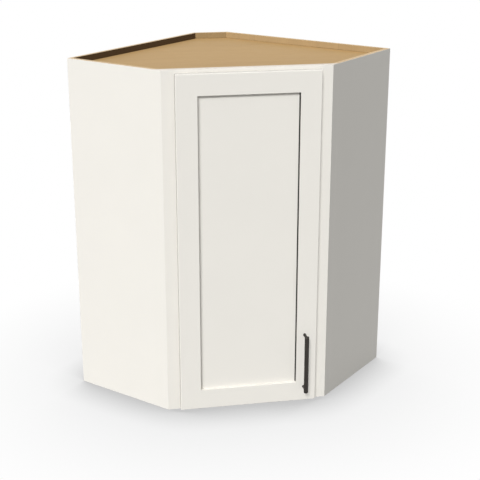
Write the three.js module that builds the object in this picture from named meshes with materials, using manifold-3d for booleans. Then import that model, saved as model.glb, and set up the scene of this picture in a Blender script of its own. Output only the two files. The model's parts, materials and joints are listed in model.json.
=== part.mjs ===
// A diagonal corner wall cabinet: a painted plywood box that fills an inside corner, with a
// face frame and one shaker door across its front, two loose shelves and a bar pull.
//
// Millimetres. +Z is up, the door looks along -Y, +X is to the viewer's right, and the
// cabinet is symmetric about X = 0 apart from its hinges and pull. Y = 0 is the front of the
// face frame while the pieces are built; the last lines move the origin below the middle.

import * as THREE from "three";
import { mergeVertices } from "three/addons/utils/BufferGeometryUtils.js";
import Module from "manifold-3d";

const wasm = await Module();
wasm.setup();

// ---------------------------------------------------------------- driving dimensions

// Box
const cabinetHeight = 914.4;
const wallLength = 609.6; // along each wall, from the free end to the room's corner
const sideDepth = 304.8; // out from each wall
const cornerCut = 70.6; // taken off along each wall, so that the back clears the room's corner
const sideThickness = 12.7;
const backThickness = 9.5;
const deckThickness = 12.7; // top and bottom panels
const topRecess = 16.5; // from the rim down to the top panel
const bottomRecess = 19; // from the lower rim up to the bottom panel
const grooveDepth = 5; // in the side panels, for the top and bottom panels
const hangRailHeight = 76;
const hangRailThickness = 19;

// Face frame
const frameThickness = 19;
const frameRailHeight = 38;

// Shelves and their pins
const shelfCount = 2;
const shelfThickness = 19;
const shelfSetback = 12; // behind the face frame
const shelfGap = 3; // to the box all round
const shelfPinRadius = 2.5;
const shelfPinDepth = 7.5; // in the panel
const shelfPinReach = 9; // out of the panel
const pinCollarRadius = 4;
const pinCollarThickness = 1;
const pinHolePitch = 32;
const pinHolesEachWay = 2; // spare holes above and below each shelf pin
const sidePinInset = 90; // from the face frame, along the side panel
const wallPinInset = 170; // from the side panel, along the back panel

// Door
const doorWidth = 366.7;
const doorThickness = 19;
const topReveal = 8;
const bottomReveal = 6.4;
const doorOverlay = 31.8; // over the frame's opening, at each side
const doorGap = 2.5; // between the door's back and the face frame
const doorMember = 54; // width of its stiles and rails
const panelRecess = 8;
const panelThickness = 6.4;
const panelGroove = 9.5;
const tenonShoulder = 12;
const easedEdge = 1;
const bumperRadius = 4;
const bumperInset = 12;

// Bar pull
const pullLength = 165;
const pullCentres = 152.4;
const pullRadius = 6;
const pullEase = 0.9;
const pullStandoff = 27; // from the door's face to the bar's axis
const pullInset = 32.5; // from the door's free edge
const pullFromBottom = 40; // from the door's lower end to the lower post
const postRadius = 3.5;
const postBore = 10; // depth of the screw's hole in a post

// Hinges
const hingeInset = 95; // from the door's ends to the cups
const hingePinRadius = 1.3;
const pinFromEdge = 7.4;
const pinFromBack = 10;
const cupRadius = 17.25;
const cupDepth = 13.6;
const cupWall = 0.75;
const cupEdgeDistance = 3; // from the door's edge to the cup's bore
const earWall = 0.9; // round the pin, where the cup's ears hold it
const flangeThickness = 1;
const flangeRim = 0.5; // beyond the cup
const flangeMargin = 2; // round the heads of its screws
const knuckleRadius = 2.2;
const armWidth = 10;
const armSheet = 1.5;
const armLegLength = 15; // behind the frame's front
const plateHeight = 52;
const plateThickness = 1.5;
const plateInset = 2; // from both faces of the frame

// Fasteners
const screwRadius = 1.6;
const screwHeadRadius = 3.4;
const screwHeadDepth = 1.9;
const screwLength = 12;
const cupScrewSpacing = 45;
const cupScrewOffset = 9.5; // from the cup's centre
const plateScrewSpacing = 38;
const machineScrewRadius = 2;
const machineHeadRadius = 3.8;
const machineHeadHeight = 1.8;
const machineHeadEase = 0.8;
const postScrewEnd = 1; // from a pull screw's tip to the end of its hole
const armScrewBite = 2; // from the hinge plate's back to the arm screw's tip

// Clearances
const faceGap = 0.1; // between pieces that are glued, screwed or stuck face to face
const panelFit = 0.3; // round the door's loose centre panel
const holeFit = 0.25; // round screws and shelf pins
const pinFit = 0.15; // round the hinge pins, which turn
const armFit = 0.3; // from the arm to the cup's ears
const bumperFit = 0.3; // from a bumper to the face frame

// How far a cutter runs past the face that it opens
const past = 1;

// Sides of round pieces
const fineSides = 32;
const barSides = 24;
const smallSides = 12;

// ---------------------------------------------------------------- derived places

const openingWidth = doorWidth - 2 * doorOverlay;
const doorBottom = bottomReveal;
const doorTop = cabinetHeight - topReveal;
const deckBottom = bottomRecess;
const deckTop = cabinetHeight - topRecess - deckThickness;
const floorLevel = deckBottom + deckThickness;

// The door's own frame has its origin on the hinge axis, level with the cabinet's foot.
const axisX = pinFromEdge - doorWidth / 2;
const axisY = -doorGap - pinFromBack;
const doorLeft = -pinFromEdge;
const doorRight = doorWidth - pinFromEdge;
const doorBack = pinFromBack;
const doorFront = doorBack - doorThickness;
const panelFront = doorFront + panelRecess;
const grooveFront = panelFront - panelFit;
const grooveBack = panelFront + panelThickness + panelFit;
const frameEdge = -openingWidth / 2 - axisX;
const frameFace = -axisY;

// The pull and its screws, whose heads are sunk in the door's back
const pullX = doorRight - pullInset;
const pullY = doorFront - pullStandoff;
const lowerPostZ = doorBottom + pullFromBottom;
const postHeights = { upper: lowerPostZ + pullCentres, lower: lowerPostZ };
const pullHeadSeat = doorBack - machineHeadHeight - holeFit;
const pullScrewLength = pullHeadSeat + faceGap - doorFront + postBore - postScrewEnd;

// The hinges
const hingeHeights = { upper: doorTop - hingeInset, lower: doorBottom + hingeInset };
const cupX = cupEdgeDistance + cupRadius + holeFit - pinFromEdge;
const cupScrewX = cupX + cupScrewOffset;
const flangeFace = doorBack + faceGap + flangeThickness;
const earRadius = hingePinRadius + pinFit + earWall;
const earStart = armWidth / 2 + armFit;
const plateFace = frameEdge + faceGap + plateThickness;
const armBack = plateFace + faceGap;
const armFace = armBack + armSheet;
const plateMiddle = frameFace + frameThickness / 2;
const armScrewLength = armSheet + plateThickness + armScrewBite;

const hands = { left: -1, right: 1 };
const alongX = new THREE.Vector3(1, 0, 0);
const alongY = new THREE.Vector3(0, 1, 0);

// ---------------------------------------------------------------- materials

const finish = (color, roughness, metalness = 0) =>
  new THREE.MeshStandardMaterial({ color, roughness, metalness });
const paint = finish(0xf1eee7, 0.5);
const ply = finish(0xc3a178, 0.6);
const darkMetal = finish(0x3c3834, 0.4, 0.8);
const steel = finish(0xb9bcc0, 0.3, 0.9);
const rubber = finish(0xd8dad8, 0.6);

// ---------------------------------------------------------------- plan lines

// The box's plan is what lies inside five lines. A line holds its outward normal n and its
// distance d from the origin. side and wall are the right-hand ones; the left is mirrored.
const front = { n: [0, -1], d: 0 };
const side = { n: [Math.SQRT1_2, -Math.SQRT1_2], d: (wallLength - sideDepth) / 2 };
const wall = { n: [Math.SQRT1_2, Math.SQRT1_2], d: (wallLength + sideDepth) / 2 };
const corner = { n: [0, 1], d: wall.d * Math.SQRT2 - cornerCut * Math.SQRT1_2 };

const inset = (line, by) => ({ n: line.n, d: line.d - by });

function meet(a, b) {
  const det = a.n[0] * b.n[1] - a.n[1] * b.n[0];
  const x = (a.d * b.n[1] - b.d * a.n[1]) / det;
  const y = (b.d * a.n[0] - a.d * b.n[0]) / det;
  return new THREE.Vector2(x, y);
}

const flip = (point, hand) => new THREE.Vector2(point.x * hand, point.y);

const frameBack = inset(front, frameThickness);
const boxFront = inset(frameBack, faceGap);
const sideInner = inset(side, sideThickness);
const grooveFloor = inset(side, sideThickness - grooveDepth);
const wallInner = inset(wall, backThickness);
const cornerInner = inset(corner, backThickness);

// ---------------------------------------------------------------- solids

function prism(points, bottom, top) {
  const geometry = new THREE.ExtrudeGeometry(new THREE.Shape(points), {
    depth: top - bottom,
    bevelEnabled: false,
  });
  return geometry.translate(0, 0, bottom);
}

function block(x0, x1, y0, y1, z0, z1) {
  const geometry = new THREE.BoxGeometry(x1 - x0, y1 - y0, z1 - z0);
  return geometry.translate((x0 + x1) / 2, (y0 + y1) / 2, (z0 + z1) / 2);
}

// A round bar from y0 to y1, along +Y.
function rod(radius, y0, y1, sides = smallSides) {
  const geometry = new THREE.CylinderGeometry(radius, radius, y1 - y0, sides);
  return geometry.translate(0, (y0 + y1) / 2, 0);
}

// A piece turned about Y from its outline of [radius, y] points.
const turned = (outline, sides = smallSides) =>
  new THREE.LatheGeometry(outline.map(([r, y]) => new THREE.Vector2(r, y)), sides);

// Stands a piece made along +Y at a place, with its +Y end looking along a direction.
function stand(geometry, place, direction = alongY) {
  const turn = new THREE.Quaternion().setFromUnitVectors(alongY, direction);
  return geometry.applyQuaternion(turn).translate(...place);
}

function solid(geometry) {
  const bare = geometry.clone();
  bare.deleteAttribute("normal");
  bare.deleteAttribute("uv");
  const merged = mergeVertices(bare, 1e-4);
  const vertProperties = merged.attributes.position.array;
  const triVerts = new Uint32Array(merged.index.array);
  return new wasm.Manifold(new wasm.Mesh({ numProp: 3, vertProperties, triVerts }));
}

function surface(manifold) {
  const mesh = manifold.getMesh();
  const geometry = new THREE.BufferGeometry();
  geometry.setAttribute("position", new THREE.BufferAttribute(mesh.vertProperties, 3));
  geometry.setIndex(new THREE.BufferAttribute(mesh.triVerts, 1));
  const faceted = geometry.toNonIndexed();
  faceted.computeVertexNormals();
  return faceted;
}

const joined = (...pieces) => surface(pieces.map(solid).reduce((a, b) => a.add(b)));
const cut = (piece, ...tools) =>
  surface(tools.reduce((body, tool) => body.subtract(solid(tool)), solid(piece)));
const shared = (a, b) => surface(solid(a).intersect(solid(b)));

function node(parent, name, geometry, material) {
  const mesh = new THREE.Mesh(geometry, material);
  mesh.name = name;
  parent.add(mesh);
}

// ---------------------------------------------------------------- fasteners

// A countersunk wood screw along Y, its flat head looking along +Y at y = 0.
// With a fit it is the hole that the screw sits in.
const woodScrew = (fit = 0) =>
  turned([
    [0, -screwLength - fit],
    [screwRadius + fit, -screwLength + screwRadius],
    [screwRadius + fit, -screwHeadDepth - fit],
    [screwHeadRadius + fit, 0],
    [screwHeadRadius + fit, fit],
    [0, fit],
  ]);

// A low-headed machine screw along Y, the underside of its head at y = 0.
const machineScrew = (length) =>
  turned([
    [0, -length],
    [machineScrewRadius, -length],
    [machineScrewRadius, 0],
    [machineHeadRadius, 0],
    [machineHeadRadius, machineHeadHeight - machineHeadEase],
    [machineHeadRadius - machineHeadEase, machineHeadHeight],
    [0, machineHeadHeight],
  ]);

const machineScrewHole = (y0, y1) => rod(machineScrewRadius + holeFit, y0, y1);

// ---------------------------------------------------------------- shelf pins

const shelfSpacing = (deckTop - floorLevel - shelfCount * shelfThickness) / (shelfCount + 1);
const shelfBottom = (index) =>
  floorLevel + (index + 1) * shelfSpacing + index * shelfThickness;
const pinLevel = (index) => shelfBottom(index) - shelfPinRadius - holeFit;

// Where the pins stand: each place's name, its point on a panel's inner face, and the
// direction that the pin points in.
const inward = (line, hand) => new THREE.Vector3(-line.n[0] * hand, -line.n[1], 0);

function pinPlaces() {
  const alongSide = new THREE.Vector2(Math.SQRT1_2, Math.SQRT1_2);
  const alongWall = new THREE.Vector2(-Math.SQRT1_2, Math.SQRT1_2);
  const onSide = meet(frameBack, sideInner).addScaledVector(alongSide, sidePinInset);
  const onWall = meet(sideInner, wallInner).addScaledVector(alongWall, wallPinInset);
  const onCorner = new THREE.Vector2(0, cornerInner.d);
  const places = { corner: { point: onCorner, look: inward(corner, 1) } };
  for (const [label, hand] of Object.entries(hands)) {
    places[label + "_side"] = { point: flip(onSide, hand), look: inward(side, hand) };
    places[label + "_back"] = { point: flip(onWall, hand), look: inward(wall, hand) };
  }
  return places;
}

const pins = pinPlaces();

function shelfPin() {
  return turned([
    [0, -shelfPinDepth],
    [shelfPinRadius, -shelfPinDepth],
    [shelfPinRadius, faceGap],
    [pinCollarRadius, faceGap],
    [pinCollarRadius, faceGap + pinCollarThickness],
    [shelfPinRadius, faceGap + pinCollarThickness],
    [shelfPinRadius, shelfPinReach],
    [0, shelfPinReach],
  ]);
}

// The drilled holes of one row: the one in use at each shelf, and spares above and below.
function pinHoles({ point, look }) {
  const holes = [];
  for (let shelf = 0; shelf < shelfCount; shelf++)
    for (let step = -pinHolesEachWay; step <= pinHolesEachWay; step++) {
      const hole = rod(shelfPinRadius + holeFit, -shelfPinDepth - holeFit, past);
      holes.push(stand(hole, [point.x, point.y, pinLevel(shelf) + step * pinHolePitch], look));
    }
  return holes;
}

// ---------------------------------------------------------------- box

function sidePanel(label, hand) {
  const outline = [
    meet(boxFront, side),
    meet(side, wall),
    meet(wall, sideInner),
    meet(sideInner, boxFront),
  ];
  const openFront = inset(boxFront, -past);
  const openInside = inset(sideInner, past);
  const groovePlan = [
    meet(openFront, grooveFloor),
    meet(grooveFloor, wallInner),
    meet(wallInner, openInside),
    meet(openInside, openFront),
  ];
  const mirrored = (points) => points.map((point) => flip(point, hand));
  const groove = (level) =>
    prism(mirrored(groovePlan), level - faceGap, level + deckThickness + faceGap);
  return cut(
    prism(mirrored(outline), 0, cabinetHeight),
    groove(deckBottom),
    groove(deckTop),
    ...pinHoles(pins[label + "_side"]),
  );
}

function backPanel(label, hand) {
  const end = inset(sideInner, faceGap);
  const outline = [
    meet(end, wall),
    meet(wall, corner),
    meet(corner, wallInner),
    meet(wallInner, end),
  ].map((point) => flip(point, hand));
  return cut(prism(outline, 0, cabinetHeight), ...pinHoles(pins[label + "_back"]));
}

function cornerPanel() {
  const end = inset(wallInner, faceGap);
  const right = [meet(corner, end), meet(cornerInner, end)];
  const left = right.map((point) => flip(point, -1)).reverse();
  return cut(prism([...right, ...left], 0, cabinetHeight), ...pinHoles(pins.corner));
}

// A flat panel across the whole plan, from the line at its front to its side and back lines.
function acrossPlan(frontLine, sideLine, wallLine, cornerLine, bottom, top) {
  const right = [
    meet(frontLine, sideLine),
    meet(sideLine, wallLine),
    meet(wallLine, cornerLine),
  ];
  const left = right.map((point) => flip(point, -1)).reverse();
  return prism([...right, ...left], bottom, top);
}

function deck(level) {
  return acrossPlan(
    boxFront,
    inset(grooveFloor, faceGap),
    inset(wallInner, faceGap),
    inset(cornerInner, faceGap),
    level,
    level + deckThickness,
  );
}

function shelf(index) {
  return acrossPlan(
    inset(frameBack, shelfSetback),
    inset(sideInner, shelfGap),
    inset(wallInner, shelfGap),
    inset(cornerInner, shelfGap),
    shelfBottom(index),
    shelfBottom(index) + shelfThickness,
  );
}

function hangRail(hand, bottom) {
  const back = inset(wallInner, faceGap);
  const face = inset(back, hangRailThickness);
  const end = inset(sideInner, faceGap);
  const tip = inset(cornerInner, faceGap);
  const outline = [meet(end, back), meet(back, tip), meet(tip, face), meet(face, end)];
  return prism(outline.map((point) => flip(point, hand)), bottom, bottom + hangRailHeight);
}

function buildBox(parent) {
  const upperRail = deckTop - faceGap - hangRailHeight;
  for (const [label, hand] of Object.entries(hands)) {
    node(parent, label + "_side_panel", sidePanel(label, hand), paint);
    node(parent, label + "_back_panel", backPanel(label, hand), ply);
    node(parent, label + "_top_hang_rail", hangRail(hand, upperRail), ply);
    node(parent, label + "_bottom_hang_rail", hangRail(hand, floorLevel + faceGap), ply);
  }
  node(parent, "corner_back_panel", cornerPanel(), ply);
  node(parent, "top_panel", deck(deckTop), ply);
  node(parent, "bottom_panel", deck(deckBottom), ply);
}

function buildShelves(parent) {
  const names = ["lower", "upper"];
  for (let index = 0; index < shelfCount; index++) {
    const name = (names[index] ?? `extra_${index}`) + "_shelf";
    node(parent, name, shelf(index), ply);
    for (const [place, { point, look }] of Object.entries(pins)) {
      const pin = stand(shelfPin(), [point.x, point.y, pinLevel(index)], look);
      node(parent, `${name}_${place}_pin`, pin, steel);
    }
  }
}

// ---------------------------------------------------------------- face frame

// A stile's outer edge slopes back at 45 degrees, flush with the side panel behind it.
function frameStile(hand) {
  const openingEdge = { n: [-1, 0], d: -openingWidth / 2 };
  const outline = [
    meet(front, side),
    meet(side, frameBack),
    meet(frameBack, openingEdge),
    meet(openingEdge, front),
  ];
  return prism(outline.map((point) => flip(point, hand)), 0, cabinetHeight);
}

function frameRail(bottom) {
  const half = openingWidth / 2 - faceGap;
  return block(-half, half, 0, frameThickness, bottom, bottom + frameRailHeight);
}

// The left stile carries the hinges, so their screws' holes are bored in its inner edge.
function hingeStile() {
  const holes = Object.values(hingeHeights).flatMap((height) =>
    plateHoles().map((hole) => hole.translate(axisX, axisY, height)),
  );
  return cut(frameStile(hands.left), ...holes);
}

function buildFaceFrame(parent) {
  node(parent, "frame_left_stile", hingeStile(), paint);
  node(parent, "frame_right_stile", frameStile(hands.right), paint);
  node(parent, "frame_top_rail", frameRail(cabinetHeight - frameRailHeight), paint);
  node(parent, "frame_bottom_rail", frameRail(0), paint);
}

// ---------------------------------------------------------------- door

// The door's outer edges are eased, so every outer piece is trimmed by this blank.
function doorBlank() {
  const x = [doorLeft + easedEdge, doorRight - easedEdge];
  const z = [doorBottom + easedEdge, doorTop - easedEdge];
  const outline = [
    new THREE.Vector2(x[0], z[0]),
    new THREE.Vector2(x[1], z[0]),
    new THREE.Vector2(x[1], z[1]),
    new THREE.Vector2(x[0], z[1]),
  ];
  const geometry = new THREE.ExtrudeGeometry(new THREE.Shape(outline), {
    depth: doorThickness - 2 * easedEdge,
    bevelThickness: easedEdge,
    bevelSize: easedEdge,
    bevelSegments: 1,
  });
  return geometry.rotateX(Math.PI / 2).translate(0, doorBack - easedEdge, 0);
}

// A stile has a groove for the centre panel and the rails' tenons along its inner edge.
function doorStile(x0, x1, grooveX0, grooveX1, holes) {
  const body = block(x0, x1, doorFront, doorBack, doorBottom, doorTop);
  const grooveZ = [doorBottom + tenonShoulder, doorTop - tenonShoulder];
  const groove = block(grooveX0, grooveX1, grooveFront, grooveBack, ...grooveZ);
  return cut(shared(body, doorBlank()), groove, ...holes);
}

// A rail runs between the stiles, with a stub tenon at each end in the stile's groove.
function doorRail(outer, inner) {
  const up = Math.sign(inner - outer);
  const span = (a, b) => [Math.min(a, b), Math.max(a, b)];
  const left = doorLeft + doorMember + faceGap;
  const right = doorRight - doorMember - faceGap;
  const tenonLength = panelGroove - panelFit;
  const tenonY = [panelFront, panelFront + panelThickness];
  const tenonZ = span(outer + up * (tenonShoulder + panelFit), inner - up * panelGroove);
  const grooveZ = span(inner - up * panelGroove, inner + up * past);
  const body = block(left, right, doorFront, doorBack, ...span(outer, inner));
  const rail = joined(
    shared(body, doorBlank()),
    block(left - tenonLength, left + past, ...tenonY, ...tenonZ),
    block(right - past, right + tenonLength, ...tenonY, ...tenonZ),
  );
  return cut(rail, block(left - past, right + past, grooveFront, grooveBack, ...grooveZ));
}

function centrePanel() {
  const edge = doorMember - panelGroove + panelFit;
  const x = [doorLeft + edge, doorRight - edge];
  const z = [doorBottom + edge, doorTop - edge];
  return block(...x, panelFront, panelFront + panelThickness, ...z);
}

// What is bored into the hinge stile: the cups' seats and their screws' holes.
function cupSeats() {
  const seat = [doorBack - cupDepth - holeFit, doorBack + past];
  return Object.values(hingeHeights).flatMap((height) => [
    rod(cupRadius + holeFit, ...seat, fineSides).translate(cupX, 0, height),
    ...cupScrewPlaces(height).map((place) => stand(woodScrew(holeFit), place)),
  ]);
}

// What is bored into the handle stile: the pull screws' holes, wider where their heads sit.
function pullScrewHoles() {
  return Object.values(postHeights).flatMap((height) => [
    machineScrewHole(doorFront - past, doorBack).translate(pullX, 0, height),
    rod(machineHeadRadius + holeFit, pullHeadSeat, doorBack + past).translate(pullX, 0, height),
  ]);
}

function doorBumper(height) {
  const bumper = rod(bumperRadius, doorBack + faceGap, doorBack + doorGap - bumperFit);
  return bumper.translate(doorRight - bumperInset, 0, height);
}

function buildDoor(parent) {
  const left = doorLeft + doorMember;
  const right = doorRight - doorMember;
  const hinged = doorStile(doorLeft, left, left - panelGroove, left + past, cupSeats());
  const handled = doorStile(right, doorRight, right - past, right + panelGroove, pullScrewHoles());
  node(parent, "door_hinge_stile", hinged, paint);
  node(parent, "door_handle_stile", handled, paint);
  node(parent, "door_top_rail", doorRail(doorTop, doorTop - doorMember), paint);
  node(parent, "door_bottom_rail", doorRail(doorBottom, doorBottom + doorMember), paint);
  node(parent, "door_centre_panel", centrePanel(), paint);
  node(parent, "upper_door_bumper", doorBumper(doorTop - bumperInset), rubber);
  node(parent, "lower_door_bumper", doorBumper(doorBottom + bumperInset), rubber);
}

// ---------------------------------------------------------------- bar pull

function pullBar() {
  const half = pullLength / 2;
  const bar = turned([
    [0, -half],
    [pullRadius - pullEase, -half],
    [pullRadius, pullEase - half],
    [pullRadius, half - pullEase],
    [pullRadius - pullEase, half],
    [0, half],
  ], barSides);
  return bar.rotateX(Math.PI / 2).translate(pullX, pullY, lowerPostZ + pullCentres / 2);
}

// A post runs from the door to the bar, where its end is hollowed to the bar's round.
function pullPost(height) {
  const barSpace = rod(pullRadius + faceGap, -pullRadius, pullRadius, barSides);
  return cut(
    rod(postRadius, pullY, doorFront - faceGap, barSides),
    barSpace.rotateX(Math.PI / 2).translate(0, pullY, 0),
    machineScrewHole(doorFront - postBore, doorFront + past),
  ).translate(pullX, 0, height);
}

function buildPull(parent) {
  node(parent, "pull_bar", pullBar(), darkMetal);
  for (const [label, height] of Object.entries(postHeights)) {
    const screw = machineScrew(pullScrewLength);
    node(parent, `pull_${label}_post`, pullPost(height), darkMetal);
    node(parent, `pull_${label}_screw`, screw.translate(pullX, pullHeadSeat + faceGap, height), steel);
  }
}

// ---------------------------------------------------------------- hinges

// Each hinge has a cup bored into the door, a pin across the cup, an arm that turns on the
// pin and comes out round the frame's edge, and a plate that holds the arm on that edge.
// The pin lies so near the door's edge and so deep in it that the door turns clear of the
// frame: the door's back corner passes the frame's face by a few tenths of a millimetre.

const cupScrewPlaces = (height) =>
  [1, -1].map((end) => [cupScrewX, flangeFace, height + (end * cupScrewSpacing) / 2]);

// The cup's flange is a rim round it and a bar under the heads of its two screws.
function cupFlange() {
  const seat = doorBack + faceGap;
  const halfWidth = screwHeadRadius + flangeMargin;
  const halfHeight = cupScrewSpacing / 2 + halfWidth;
  const x = [cupScrewX - halfWidth, cupScrewX + halfWidth];
  return joined(
    rod(cupRadius + flangeRim, seat, flangeFace, fineSides).translate(cupX, 0, 0),
    block(...x, seat, flangeFace, -halfHeight, halfHeight),
  );
}

// The cup is hollow but for two ears, one on each side of the arm, that hold the pin.
function hingeCup() {
  const floor = doorBack - cupDepth + cupWall;
  const cupBody = rod(cupRadius, doorBack - cupDepth, flangeFace, fineSides).translate(cupX, 0, 0);
  const hollow = rod(cupRadius - cupWall, floor, flangeFace + past, fineSides);
  const ear = (z0, z1) =>
    shared(block(cupX - cupRadius, earRadius, floor - cupWall / 2, earRadius, z0, z1), cupBody);
  return cut(
    joined(
      cut(joined(cupBody, cupFlange()), hollow.translate(cupX, 0, 0)),
      ear(earStart, cupRadius),
      ear(-cupRadius, -earStart),
    ),
    rod(hingePinRadius + pinFit, -cupRadius, cupRadius).rotateX(Math.PI / 2),
    ...cupScrewPlaces(0).map((place) => stand(woodScrew(holeFit), place)),
  );
}

function hingePin() {
  const half = Math.sqrt(cupRadius ** 2 - (cupX + hingePinRadius) ** 2);
  return rod(hingePinRadius, -half, half).rotateX(Math.PI / 2);
}

// The arm is bent sheet: a knuckle round the pin, a run across to the frame's edge and a leg
// along that edge.
function hingeArm() {
  const low = -knuckleRadius;
  const inner = low + armSheet;
  const tangent = Math.sqrt(knuckleRadius ** 2 - inner ** 2);
  const legEnd = frameFace + armLegLength;
  const outline = new THREE.Shape();
  outline.moveTo(0, low);
  outline.lineTo(armFace - armSheet, low);
  outline.absarc(armFace - armSheet, inner, armSheet, -Math.PI / 2, 0, false);
  outline.lineTo(armFace, legEnd);
  outline.lineTo(armBack, legEnd);
  outline.lineTo(armBack, inner);
  outline.lineTo(tangent, inner);
  outline.absarc(0, 0, knuckleRadius, Math.atan2(inner, tangent), Math.PI * 1.5, false);
  const eye = new THREE.Path().absarc(0, 0, hingePinRadius + pinFit, 0, Math.PI * 2, true);
  outline.holes.push(eye);
  const arm = new THREE.ExtrudeGeometry(outline, {
    depth: armWidth,
    curveSegments: smallSides,
    bevelEnabled: false,
  });
  return cut(arm.translate(0, 0, -armWidth / 2), armScrewHole());
}

function armScrewHole() {
  const hole = machineScrewHole(-armScrewLength - holeFit, past);
  return stand(hole, [armFace, plateMiddle, 0], alongX);
}

const plateScrewPlaces = (height) =>
  [1, -1].map((end) => [plateFace, plateMiddle, height + (end * plateScrewSpacing) / 2]);

// The holes for a hinge's screws into the frame, for a hinge at height 0.
function plateHoles() {
  const screwHoles = plateScrewPlaces(0).map((place) => stand(woodScrew(holeFit), place, alongX));
  return [...screwHoles, armScrewHole()];
}

function hingePlate() {
  const y = [frameFace + plateInset, frameFace + frameThickness - plateInset];
  const plate = block(frameEdge + faceGap, plateFace, ...y, -plateHeight / 2, plateHeight / 2);
  return cut(plate, ...plateHoles());
}

function buildHinge(door, fixed, label, height) {
  const lift = (geometry) => geometry.translate(0, 0, height);
  const armScrew = stand(machineScrew(armScrewLength), [armFace, plateMiddle, height], alongX);
  node(door, label + "_hinge_cup", lift(hingeCup()), steel);
  node(door, label + "_hinge_pin", lift(hingePin()), steel);
  node(fixed, label + "_hinge_arm", lift(hingeArm()), steel);
  node(fixed, label + "_hinge_plate", lift(hingePlate()), steel);
  node(fixed, label + "_hinge_arm_screw", armScrew, steel);
  cupScrewPlaces(height).forEach((place, i) =>
    node(door, `${label}_hinge_cup_screw_${i + 1}`, stand(woodScrew(), place), steel));
  plateScrewPlaces(height).forEach((place, i) =>
    node(fixed, `${label}_hinge_plate_screw_${i + 1}`, stand(woodScrew(), place, alongX), steel));
}

// ---------------------------------------------------------------- assembly

const cabinet = new THREE.Group();
buildBox(cabinet);
buildShelves(cabinet);
buildFaceFrame(cabinet);

const door = new THREE.Group();
door.position.set(axisX, axisY, 0);
cabinet.add(door);
buildDoor(door);
buildPull(door);

const hingeMounts = new THREE.Group();
hingeMounts.position.copy(door.position);
cabinet.add(hingeMounts);
for (const [label, height] of Object.entries(hingeHeights))
  buildHinge(door, hingeMounts, label, height);

// The origin ends under the middle of the whole, between the pull's front and the corner.
const foremost = axisY + pullY - pullRadius;
cabinet.position.y = -(foremost + corner.d) / 2;

const part = new THREE.Group();
part.add(cabinet);

export default part;
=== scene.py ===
# %% [markdown]
# # A corner wall cabinet
#
# The cabinet fills an inside corner of a kitchen. It is a plywood box, painted white outside and
# left as clear wood inside, with a painted face frame and one shaker door across its front, two
# loose shelves and a dark bar pull.
#
# The solids come ready from the CAD side as a fixed frame: one object for each piece, in metres.
# This lesson gives every piece the finish and the small shapes that the eye looks for: eased
# edges, turned metal, screws with a drive, veneer and paint.

import json
import math

import bmesh
import bpy
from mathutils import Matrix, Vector

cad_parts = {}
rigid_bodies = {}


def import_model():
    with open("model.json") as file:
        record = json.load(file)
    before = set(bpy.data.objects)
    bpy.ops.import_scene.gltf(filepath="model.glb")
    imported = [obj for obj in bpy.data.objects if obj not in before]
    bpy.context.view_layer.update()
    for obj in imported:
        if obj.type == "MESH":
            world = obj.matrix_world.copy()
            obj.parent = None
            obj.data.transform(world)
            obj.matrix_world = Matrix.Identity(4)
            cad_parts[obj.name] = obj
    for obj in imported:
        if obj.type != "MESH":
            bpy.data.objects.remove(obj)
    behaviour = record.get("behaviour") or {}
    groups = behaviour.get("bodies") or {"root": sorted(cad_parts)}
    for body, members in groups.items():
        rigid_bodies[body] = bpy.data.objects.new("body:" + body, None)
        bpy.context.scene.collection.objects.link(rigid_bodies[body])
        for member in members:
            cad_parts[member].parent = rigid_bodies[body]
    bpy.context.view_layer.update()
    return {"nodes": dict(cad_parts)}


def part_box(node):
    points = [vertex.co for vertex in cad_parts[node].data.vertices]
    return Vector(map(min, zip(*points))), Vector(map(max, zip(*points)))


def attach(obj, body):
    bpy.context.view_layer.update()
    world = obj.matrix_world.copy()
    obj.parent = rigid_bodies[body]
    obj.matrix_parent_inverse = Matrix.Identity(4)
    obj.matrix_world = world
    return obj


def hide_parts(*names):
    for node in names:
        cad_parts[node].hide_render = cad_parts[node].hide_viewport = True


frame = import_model()
nodes = frame["nodes"]

# %% [markdown]
# ## Levels that the finishes need
#
# Paint, veneer and screws all sit at places that the solids already know. They are read from the
# solids' boxes and not typed in, so a cabinet of another size gets its finish in the right place.

# %% Levels from the solids
MM = 0.001

hinge_stile, handle_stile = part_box("door_hinge_stile"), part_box("door_handle_stile")
bottom_rail, top_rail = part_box("door_bottom_rail"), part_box("door_top_rail")
door_front, door_back = handle_stile[0].y, handle_stile[1].y
door_left, door_right = hinge_stile[0].x, handle_stile[1].x
door_bottom, door_top = bottom_rail[0].z, top_rail[1].z
recess_left, recess_right = hinge_stile[1].x, handle_stile[0].x
recess_bottom, recess_top = bottom_rail[1].z, top_rail[0].z
panel_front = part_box("door_centre_panel")[0].y
deck_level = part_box("top_panel")[1].z
frame_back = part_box("frame_left_stile")[1].y
frame_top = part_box("frame_top_rail")[1].z
print(f"door recess {(panel_front - door_front) / MM:.1f} mm deep,",
      f"{(recess_right - recess_left) / MM:.0f} x {(recess_top - recess_bottom) / MM:.0f} mm")

# %% [markdown]
# ## Directions of the boards
#
# The cabinet's sides and its wall panels stand at 45 degrees. Veneer runs along a board, and its
# plies are counted through it, so each board's finish needs the board's own two directions: the
# one that its face looks in and the one that its grain follows.

# %% Directions
ALONG_X = Vector((1, 0, 0))
ALONG_Y = Vector((0, 1, 0))
UP = Vector((0, 0, 1))
HALF = math.sqrt(0.5)
SIDE_OUT = {"left": Vector((-HALF, -HALF, 0)), "right": Vector((HALF, -HALF, 0))}
WALL_OUT = {"left": Vector((-HALF, HALF, 0)), "right": Vector((HALF, HALF, 0))}


def reach(node, direction):
    """How far a solid's corners reach along a direction: (least, most)."""
    steps = [vertex.co.dot(direction) for vertex in nodes[node].data.vertices]
    return min(steps), max(steps)


side_reach = {hand: reach(f"{hand}_side_panel", SIDE_OUT[hand]) for hand in SIDE_OUT}
print(f"side panels {(side_reach['left'][1] - side_reach['left'][0]) / MM:.1f} mm thick")

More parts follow.
